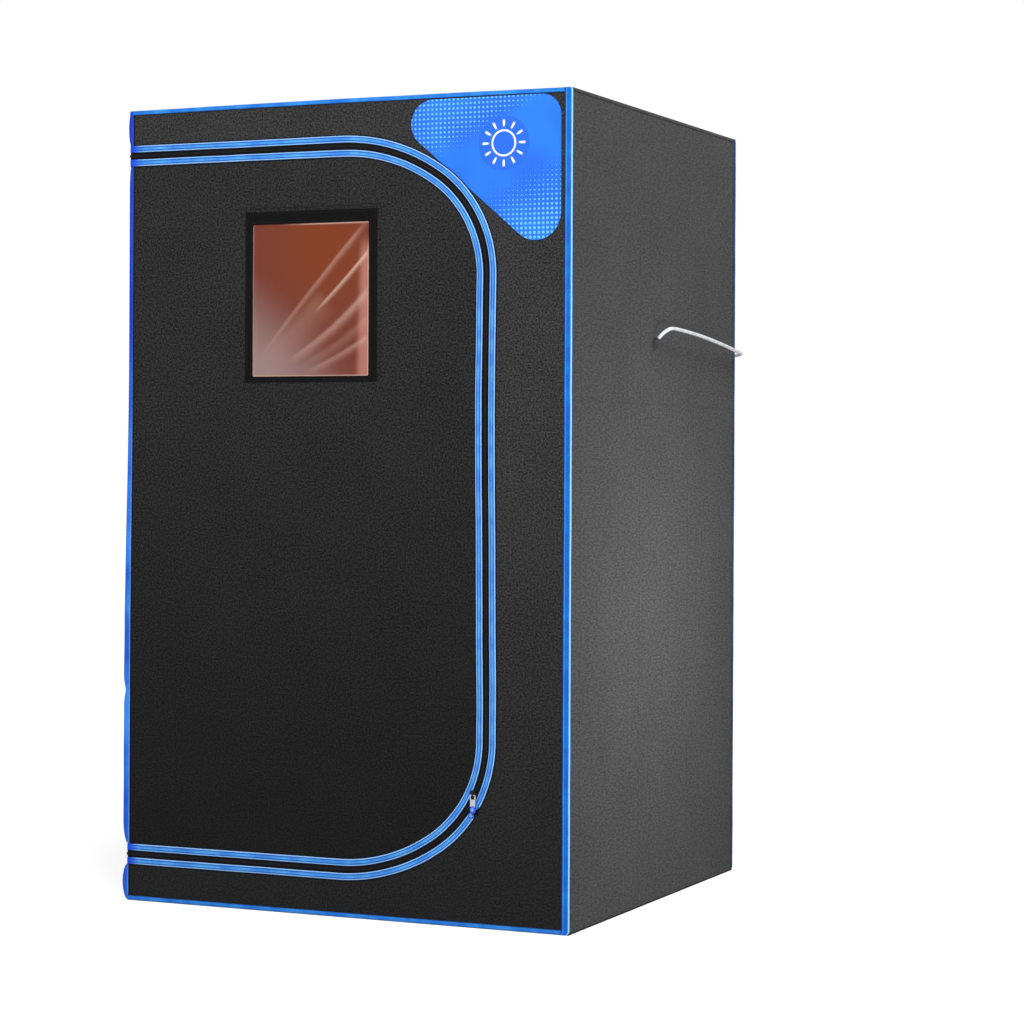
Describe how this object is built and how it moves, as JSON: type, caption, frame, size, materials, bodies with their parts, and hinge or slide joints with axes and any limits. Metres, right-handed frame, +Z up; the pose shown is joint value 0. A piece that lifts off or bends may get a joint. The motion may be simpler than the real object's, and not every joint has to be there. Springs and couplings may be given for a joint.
{
  "type": "portable sauna",
  "caption": "Box-shaped fabric sauna tent over a tube frame, with a zip-closed door flap and window, heating panels, a wall controller and a mains lead.",
  "frame": {"origin": "middle of the tent's base, on the floor", "axes": "+Z up; the door is on the -Y side; +X is to the right when facing the door, where the mains lead leaves"},
  "size_m": [1.0051, 1.1273, 1.6],
  "materials": {
    "black_fabric": "matt woven polyester over padding",
    "grey_fabric": "matt fine weave over padding",
    "blue_tape": "satin ribbed edge tape",
    "blue_plastic": "moulded soft plastic",
    "zip_black": "woven zip tape and moulded coils",
    "polished_steel": "polished",
    "painted_tube": "powder coated",
    "black_plastic": "fine texture",
    "white_plastic": "glossy moulded plastic and cable sheath",
    "heater_cloth": "matt cloth over a heating layer",
    "window_film_plastic": "flexible glossy film"
  },
  "bodies": {
    "tent": {"front_wall": "black_fabric", "rear_wall": "black_fabric", "left_wall": "grey_fabric", "right_wall": "grey_fabric", "roof_panel": "black_fabric", "floor_panel": "black_fabric", "front_binding": "blue_tape", "rear_binding": "blue_tape", "zip_tape_wall": "zip_black", "zip_trim_wall": "blue_tape", "label_patch": "blue_tape", "front_left_lower_connector": "black_plastic", "front_left_upper_connector": "black_plastic", "front_right_lower_connector": "black_plastic", "front_right_upper_connector": "black_plastic", "rear_left_lower_connector": "black_plastic", "rear_left_upper_connector": "black_plastic", "rear_right_lower_connector": "black_plastic", "rear_right_upper_connector": "black_plastic", "front_left_upright": "painted_tube", "front_right_upright": "painted_tube", "rear_left_upright": "painted_tube", "rear_right_upright": "painted_tube", "left_lower_rail": "painted_tube", "left_upper_rail": "painted_tube", "right_lower_rail": "painted_tube", "right_upper_rail": "painted_tube", "front_lower_rail": "painted_tube", "front_upper_rail": "painted_tube", "rear_lower_rail": "painted_tube", "rear_upper_rail": "painted_tube", "rear_heater": "heater_cloth", "left_heater": "heater_cloth", "right_heater": "heater_cloth", "foot_heater": "heater_cloth", "right_heater_lead": "black_plastic", "rear_heater_lead": "black_plastic", "left_heater_lead": "black_plastic", "foot_heater_lead": "black_plastic", "controller_case": "white_plastic", "controller_display": "black_plastic", "cord_gland": "black_plastic", "mains_cord": "white_plastic", "cord_coil": "white_plastic", "coil_tie": "black_plastic", "plug": "white_plastic", "cord_keeper": "black_fabric"},
    "door": {"door_flap": "black_fabric", "door_binding": "blue_tape", "zip_tape_door": "zip_black", "zip_trim_door": "blue_tape", "window_film": "window_film_plastic", "window_frame": "black_fabric"},
    "slider": {"zip_slider": "zip_black"},
    "puller": {"zip_puller": "polished_steel", "puller_tip": "blue_plastic"},
    "power_key": {"power_button": "white_plastic"},
    "timer_key": {"timer_button": "white_plastic"},
    "heat_key": {"heat_button": "white_plastic"}
  },
  "joints": [
    {"name": "door_fold", "type": "hinge", "parent": "tent", "child": "door", "pos_m": [-0.4885, -0.461, 0], "axis": [0, 0, -1], "range_deg": [0, 250]},
    {"name": "slider_travel", "type": "hinge", "parent": "door", "child": "slider", "pos_m": [0.0715, -0.4629, 0.35623], "axis": [0, 1, 0], "range_deg": [-22, 28]},
    {"name": "puller_swing", "type": "hinge", "parent": "slider", "child": "puller", "pos_m": [0.28901, -0.46596, 0.2548], "axis": [-1, 0, 0], "range_deg": [0, 140]},
    {"name": "power_press", "type": "slide", "parent": "tent", "child": "power_key", "axis": [1, 0, 0], "range_m": [0, 0.0012], "stiffness_N_per_m": 600, "springref_m": -0.0008},
    {"name": "timer_press", "type": "slide", "parent": "tent", "child": "timer_key", "axis": [1, 0, 0], "range_m": [0, 0.0012], "stiffness_N_per_m": 600, "springref_m": -0.0008},
    {"name": "heat_press", "type": "slide", "parent": "tent", "child": "heat_key", "axis": [1, 0, 0], "range_m": [0, 0.0012], "stiffness_N_per_m": 600, "springref_m": -0.0008}
  ]
}
